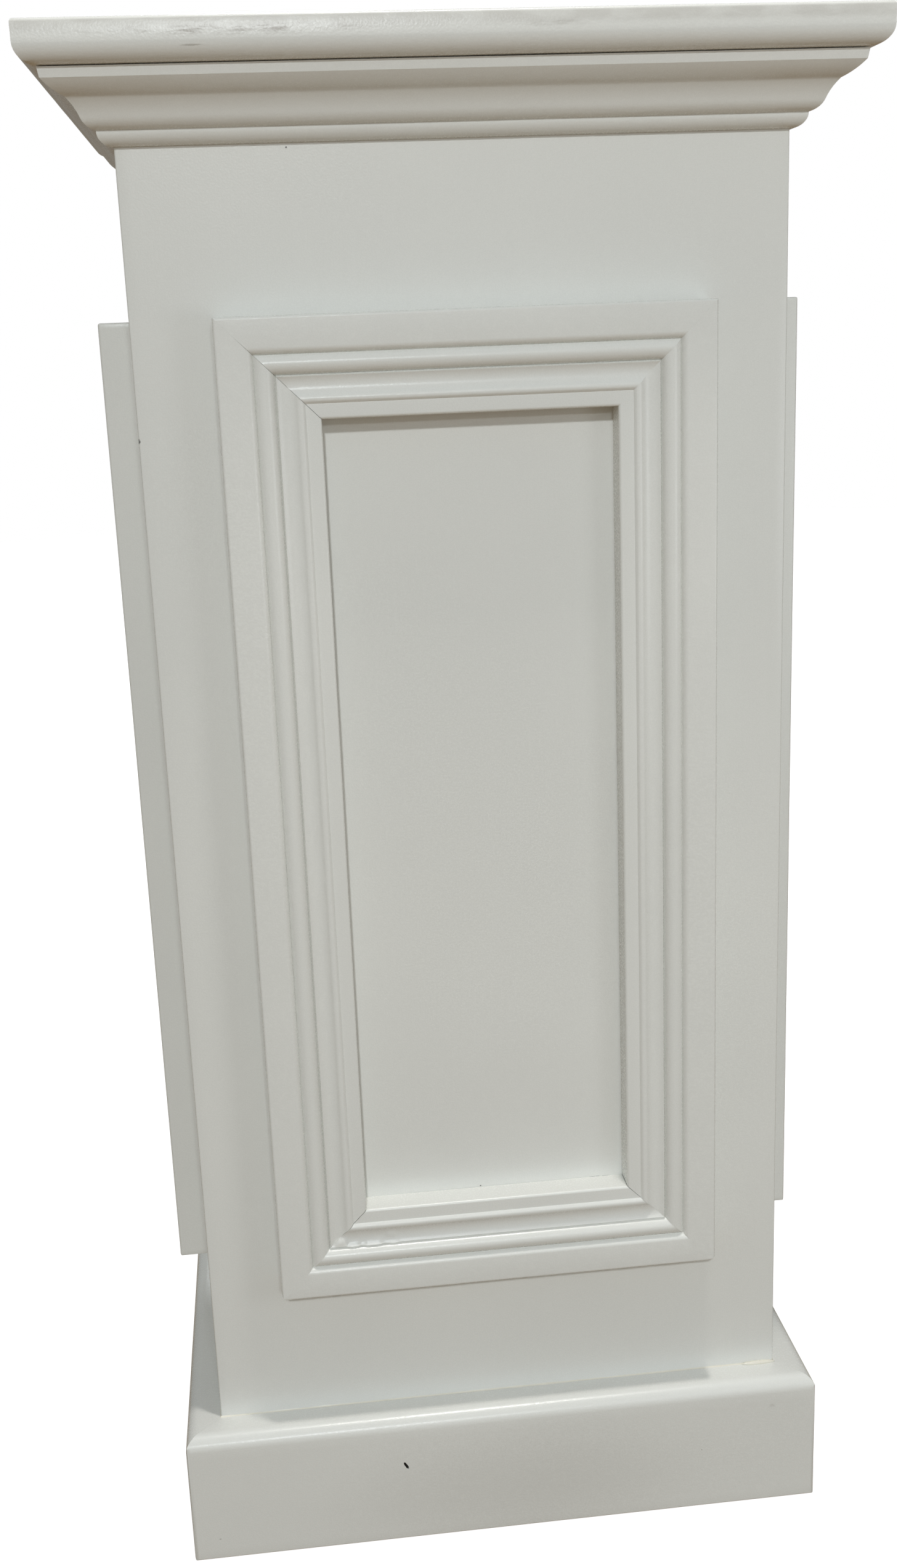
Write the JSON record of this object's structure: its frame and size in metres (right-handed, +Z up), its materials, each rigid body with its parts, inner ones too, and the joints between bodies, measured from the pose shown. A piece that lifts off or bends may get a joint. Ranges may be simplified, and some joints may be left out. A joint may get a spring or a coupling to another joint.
{
  "type": "pedestal column",
  "caption": "White-painted square wooden pedestal column with a planted panel frame on each face, a rounded plinth and a moulded cornice under a flat top board.",
  "frame": {"origin": "middle of the underside, on the floor", "axes": "+Z up the column's axis, -Y out of the face at the front, +X to the right of that face"},
  "size_m": [0.45, 0.45, 0.915],
  "materials": {
    "white_paint": "satin white paint, brushed and sprayed over primed wood"
  },
  "bodies": {
    "root": {"top_board": "white_paint", "cornice_front": "white_paint", "cornice_right": "white_paint", "cornice_back": "white_paint", "cornice_left": "white_paint", "shaft_front": "white_paint", "shaft_right": "white_paint", "shaft_back": "white_paint", "shaft_left": "white_paint", "plinth_front": "white_paint", "plinth_right": "white_paint", "plinth_back": "white_paint", "plinth_left": "white_paint", "frame_front_bottom": "white_paint", "frame_front_right": "white_paint", "frame_front_top": "white_paint", "frame_front_left": "white_paint", "frame_right_bottom": "white_paint", "frame_right_right": "white_paint", "frame_right_top": "white_paint", "frame_right_left": "white_paint", "frame_back_bottom": "white_paint", "frame_back_right": "white_paint", "frame_back_top": "white_paint", "frame_back_left": "white_paint", "frame_left_bottom": "white_paint", "frame_left_right": "white_paint", "frame_left_top": "white_paint", "frame_left_left": "white_paint"}
  },
  "joints": []
}
